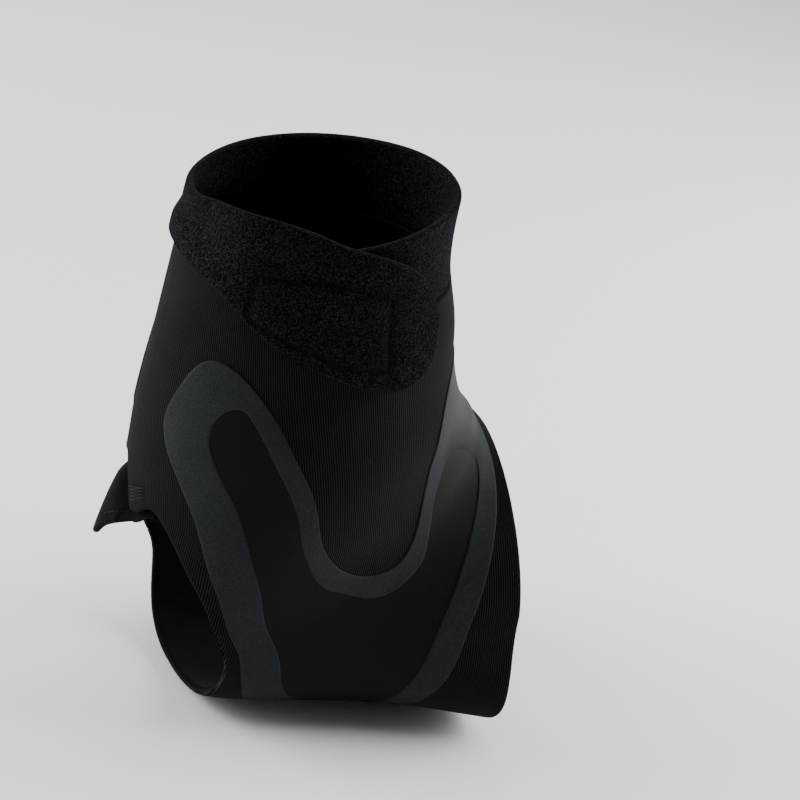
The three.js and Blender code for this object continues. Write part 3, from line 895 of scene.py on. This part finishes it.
def build_film():
    """Both sides' bands as one film: they share their points over the instep's middle."""
    rows = 15
    at, out_run, out_way, in_run, in_way = film_edges(9)
    columns = len(at)
    share = eased(rows, 0.85)[None, :]
    run = mix(out_run[:, None], in_run[:, None], share)
    way = mix(out_way[:, None], in_way[:, None], share)
    over_instep = smooth(*FADE_ROWS[:2], at) * (1 - smooth(*FADE_ROWS[2:], at))
    # Painted shade: the film is darker towards the sole, and it also stands lower there.
    near_sole = 1 - smooth(*SOLE_FADE_AND_SHADE, form(run, way)[..., 2])
    fade_and_sole_shade = np.maximum(over_instep[:, None] * smooth(*FADE_ACROSS, share), near_sole)
    faces = grid_faces(columns, rows)
    every_run = np.concatenate([run.ravel(), run.ravel()])
    every_way = np.concatenate([way.ravel(), -way.ravel()])
    every_face = np.concatenate([faces[:, ::-1], faces + run.size])
    fade_and_sole_shade = np.concatenate([fade_and_sole_shade.ravel(), fade_and_sole_shade.ravel()])
    places = np.round(np.stack([every_run, every_way], axis=1), 6)
    _, first, same = np.unique(places, axis=0, return_index=True, return_inverse=True)
    fade_and_sole_shade = fade_and_sole_shade[first]
    high = mix(FILM_STANDS, FADED_STANDS, fade_and_sole_shade)
    return thick_piece("support_film", every_run[first], every_way[first], -FILM_SINKS, high,
                       np.ravel(same)[every_face], [film_look], edge_round=0.4, edge_least=0.5,
                       marks={"fade_and_sole_shade": fade_and_sole_shade})


support_film = build_film()


# Thin dark film between the band's legs: it fills the lobes, its rim hidden under the band
RIM_SHARE = 0.6
RIM_STEP = 0.7
PANEL_STEP = 1.3


def within(places, rim):
    """Which places lie inside a closed rim."""
    inside = np.zeros(len(places), bool)
    for (x0, y0), (x1, y1) in zip(rim, np.roll(rim, -1, axis=0)):
        crosses = (y0 > places[:, 1]) != (y1 > places[:, 1])
        at = x0 + (places[:, 1] - y0) * (x1 - x0) / (y1 - y0 if y1 != y0 else 1e-9)
        inside ^= crosses & (places[:, 0] < at)
    return inside


def build_panel(name, side):
    """A closed thin solid inside a rim that runs under the band, on one side of the foot."""
    _, out_run, out_way, in_run, in_way = film_edges(8)
    scale = np.array([RUN_LENGTH, ROUND_LENGTH])
    every = np.stack([mix(out_run, in_run, RIM_SHARE), mix(out_way, in_way, RIM_SHARE)], axis=1)
    rim = []
    for p in every * scale:
        if not rim or np.linalg.norm(p - rim[-1]) > RIM_STEP:
            rim.append(p)
    rim = np.array(rim)
    low, high = rim.min(axis=0), rim.max(axis=0)
    grid = np.meshgrid(np.arange(low[0], high[0], PANEL_STEP),
                       np.arange(low[1], high[1], PANEL_STEP), indexing="ij")
    grid = np.stack([axis.ravel() for axis in grid], axis=1)
    grid = grid[within(grid, rim)]
    gap = np.array([np.min(np.linalg.norm(rim - p, axis=1)) for p in grid])
    grid = grid[gap > 0.6 * PANEL_STEP]
    points = [Vector(p) for p in np.concatenate([rim, grid])]
    edges = [(n, (n + 1) % len(rim)) for n in range(len(rim))]
    out_points, _, out_faces, _, _, _ = delaunay_2d_cdt(points, edges, [], 1, 1e-4)
    flat = np.array([tuple(p) for p in out_points]) / scale
    run, way = flat[:, 0], flat[:, 1] * side
    triangles = np.array([f[::-1] if side > 0 else f for f in out_faces])
    count = len(run)
    starts, stops = free_edges(triangles, count)
    walls = np.stack([starts, starts + count, stops + count, stops], axis=1)
    faces = [tuple(map(int, face)) for part in (triangles, triangles[:, ::-1] + count, walls)
             for face in part]
    both = np.concatenate([over(run, way, PANEL_LIFT), over(run, way, -PANEL_SINKS)])
    mesh = bpy.data.meshes.new(name)
    mesh.from_pydata([tuple(p) for p in both * METRES], [], faces)
    mesh.polygons.foreach_set("use_smooth", np.ones(len(mesh.polygons), bool))
    uv = np.concatenate([cloth_uv(run, way)] * 2)
    corner = np.zeros(len(mesh.loops), np.int32)
    mesh.loops.foreach_get("vertex_index", corner)
    layer = mesh.uv_layers.new(name="cloth")
    layer.data.foreach_set("uv", uv[corner].ravel().astype(np.float32))
    mesh.materials.append(panel_look)
    mesh.update(calc_edges=True)
    return add_object(name, mesh)


panels = [build_panel("film_panel_outer", 1), build_panel("film_panel_inner", -1)]


# Stitches: the pitch, length and arch of a straight one, how far its ends stand off the tab
# and how far it lies from the tab's edge, and the radius of the thread
STITCH_PITCH, STITCH_LENGTH, STITCH_ARCH = 1.9, 1.35, 0.22
STITCH_CLEAR, STITCH_INSET = 0.02, 1.6
THREAD_RADIUS = 0.11


def threads(name, lines, radius, sides=6):
    """Round threads along lines of points in millimetres, all in one piece."""
    points, faces = [], []
    for line in lines:
        line = np.asarray(line, float)
        tangent = np.gradient(line, axis=0)
        tangent /= np.linalg.norm(tangent, axis=1, keepdims=True)
        helper = np.cross(tangent, np.array([0.3, 0.2, 1.0]))
        helper /= np.linalg.norm(helper, axis=1, keepdims=True)
        other = np.cross(tangent, helper)
        taper = np.ones(len(line))
        taper[[0, -1]] = 0.35
        base = len(points)
        for p, h, o, r in zip(line, helper, other, taper * radius):
            for k in range(sides):
                angle = 2 * math.pi * k / sides
                points.append(p + r * (math.cos(angle) * h + math.sin(angle) * o))
        for i in range(len(line) - 1):
            for k in range(sides):
                n = (k + 1) % sides
                faces.append((base + i * sides + k, base + i * sides + n,
                              base + (i + 1) * sides + n, base + (i + 1) * sides + k))
        for ring, flip in ((0, True), (len(line) - 1, False)):
            first = base + ring * sides
            for k in (1, 3):
                quad = (first, first + k, first + k + 1, first + (k + 2) % sides)
                faces.append(quad[::-1] if flip else quad)
    return mesh_piece(name, np.array(points), np.array(faces), [thread_look])


def build_tab_stitches():
    """A row of straight stitches along the tab's lower edge, on its outer side."""
    way, edge, hang = tab_rows(np.linspace(-0.9, -0.2, 200))
    run = hang - run_of(STITCH_INSET)
    lift = tab_lift(run, way, edge, hang)
    line = over(run, way, lift)
    gone = np.concatenate([[0], np.cumsum(np.linalg.norm(np.diff(line, axis=0), axis=1))])
    arch = STITCH_ARCH * np.sin(np.linspace(0, math.pi, 5))
    rows = []
    for n in range(int(gone[-1] // STITCH_PITCH)):
        start = n * STITCH_PITCH
        local = np.linspace(start, start + STITCH_LENGTH, 5)
        at_run, at_way, at_lift = (np.interp(local, gone, v) for v in (run, way, lift))
        rows.append(over(at_run, at_way, at_lift + STITCH_CLEAR + arch))
    return rows


def build_zigzag(left_top, left_low, right_top, right_low, strokes):
    """Thread that runs to and fro between a left and a right side, each given by two
    corners of run and way."""
    t = np.linspace(0, 1, strokes + 1)[:, None]
    left = mix(np.array(left_top), np.array(left_low), t)
    right = mix(np.array(right_top), np.array(right_low), t)
    ends = np.where(np.arange(strokes + 1)[:, None] % 2 == 0, left, right)
    fine = np.linspace(0, 1, strokes * 8 + 1)
    run, way = (np.interp(fine, t[:, 0], ends[:, n]) for n in (0, 1))
    arch = 0.1 + 0.14 * np.abs(np.sin(fine * np.pi * strokes))
    return over(run, way, arch)


stitch_lines = build_tab_stitches()
stitch_lines += [build_zigzag((0.494, 0.490), (0.507, 0.481), (0.481, 0.463), (0.496, 0.457), 9)]
stitches = threads("tab_stitches", stitch_lines, THREAD_RADIUS)

for piece, nodes, slot in (
    (knit_shell, ["knit_body"], "ribbed_knit"),
    (tab_shell, ["heel_tab"], "ribbed_knit"),
    (strap_shell, ["ankle_strap"], "loop_pile"),
    (hook_plate, ["hook_patch"], "hook_tape"),
    (support_film, ["film_outer", "film_inner"], "bonded_film"),
    (panels[0], [], "bonded_film"),
    (panels[1], [], "bonded_film"),
    (stitches, [], "ribbed_knit"),
):
    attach(piece, "root")
    if nodes:
        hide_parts(*nodes)


# Stage: a flat pale floor and soft studio lights
FLOOR_REACH = 3.0
FLOOR_CLEAR = 0.0003


def build_floor():
    """White studio paper, matt, a little below the brace's lowest point."""
    bottom = min(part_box(node)[0][2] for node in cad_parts) - FLOOR_CLEAR
    material, tree, shader = new_material("studio_paper")
    tone = noise(tree, object_mm(tree), 400.0, 1.0)
    colour = colour_mix(tree, tone, hex_colour("#f8f8f8"), hex_colour("#fbfbfb"))
    tree.links.new(colour, shader.inputs["Base Color"])
    set_values(shader, {"Roughness": 0.9, "Specular IOR Level": 0.1})
    mesh = bpy.data.meshes.new("floor")
    corners = [(x * FLOOR_REACH, y * FLOOR_REACH, bottom)
               for x, y in ((-1, -1), (1, -1), (1, 1), (-1, 1))]
    mesh.from_pydata(corners, [], [(0, 1, 2, 3)])
    mesh.materials.append(material)
    floor = add_object("floor", mesh)


build_floor()


LIT_PLACE = (-0.005, 0.0, 0.08)


def soft_light(name, place, size, power):
    """A white softbox turned to the brace's middle. Its size is in metres, its power in watts."""
    data = bpy.data.lights.new(name, "AREA")
    data.shape = "RECTANGLE"
    data.size, data.size_y = size
    data.energy = power
    light = add_object(name, data)
    light.location = place
    light.rotation_euler = (Vector(LIT_PLACE) - Vector(place)).to_track_quat("-Z", "Y").to_euler()


soft_light("top_softbox", (0.0, 0.1, 1.1), (1.0, 1.0), 3.0)
soft_light("left_softbox", (-0.85, 0.4, 0.4), (0.6, 0.9), 17.0)
soft_light("right_softbox", (0.9, -0.05, 0.4), (0.6, 0.9), 16.0)

# Camera: at the photo's angle, rolled as the photo is. Its focal length is in pixels.
CAMERA_TURN, CAMERA_UP, CAMERA_ROLL = math.radians(-33.0), math.radians(25.5), math.radians(-16.0)
CAMERA_AWAY, CAMERA_FOCAL = 600.0, 2082.0
CAMERA_LOOKS = np.array([22.0, 0.0, 87.4])
PICTURE_WIDTH = 800
SENSOR_WIDTH = 36.0


def build_camera():
    """Looks at one point from a distance, given by the turn round the brace and the height."""
    back = np.array([math.sin(CAMERA_TURN) * math.cos(CAMERA_UP),
                     -math.cos(CAMERA_TURN) * math.cos(CAMERA_UP), math.sin(CAMERA_UP)])
    right = np.array([math.cos(CAMERA_TURN), math.sin(CAMERA_TURN), 0.0])
    up = np.cross(back, right)
    cos, sin = math.cos(CAMERA_ROLL), math.sin(CAMERA_ROLL)
    right, up = right * cos - up * sin, right * sin + up * cos
    eye = (CAMERA_LOOKS + back * CAMERA_AWAY) * METRES
    data = bpy.data.cameras.new("camera")
    data.sensor_width = SENSOR_WIDTH
    data.lens = CAMERA_FOCAL / PICTURE_WIDTH * SENSOR_WIDTH
    data.clip_start, data.clip_end = 0.01, 20.0
    camera = add_object("camera", data)
    rows = [[right[r], up[r], back[r], eye[r]] for r in range(3)]
    camera.matrix_world = Matrix([*rows, [0, 0, 0, 1]])
    bpy.context.scene.camera = camera


build_camera()


def build_surroundings():
    """A white studio whose light is held back on the camera's side, so that the middle of
    the brace stays dark between its lighter sides. It looks evenly pale itself."""
    world = bpy.data.worlds.new("studio")
    world.use_nodes = True
    tree = world.node_tree
    looked = add_node(tree, "ShaderNodeTexCoord").outputs["Generated"]
    screen = (math.sin(CAMERA_TURN), -math.cos(CAMERA_TURN), 0.6)
    towards = add_node(tree, "ShaderNodeVectorMath", {0: looked, 1: screen}, operation="DOT_PRODUCT")
    covered = between(tree, towards.outputs["Value"], 0.05, 0.5)
    colour = colour_mix(tree, covered, hex_colour("#ffffff"), hex_colour("#2a2a2a"))
    seen = add_node(tree, "ShaderNodeLightPath").outputs["Is Camera Ray"]
    colour = colour_mix(tree, seen, colour, hex_colour("#b9b9b9"))
    background = tree.nodes["Background"]
    tree.links.new(colour, background.inputs["Color"])
    set_values(background, {"Strength": 1.6})
    bpy.context.scene.world = world


build_surroundings()
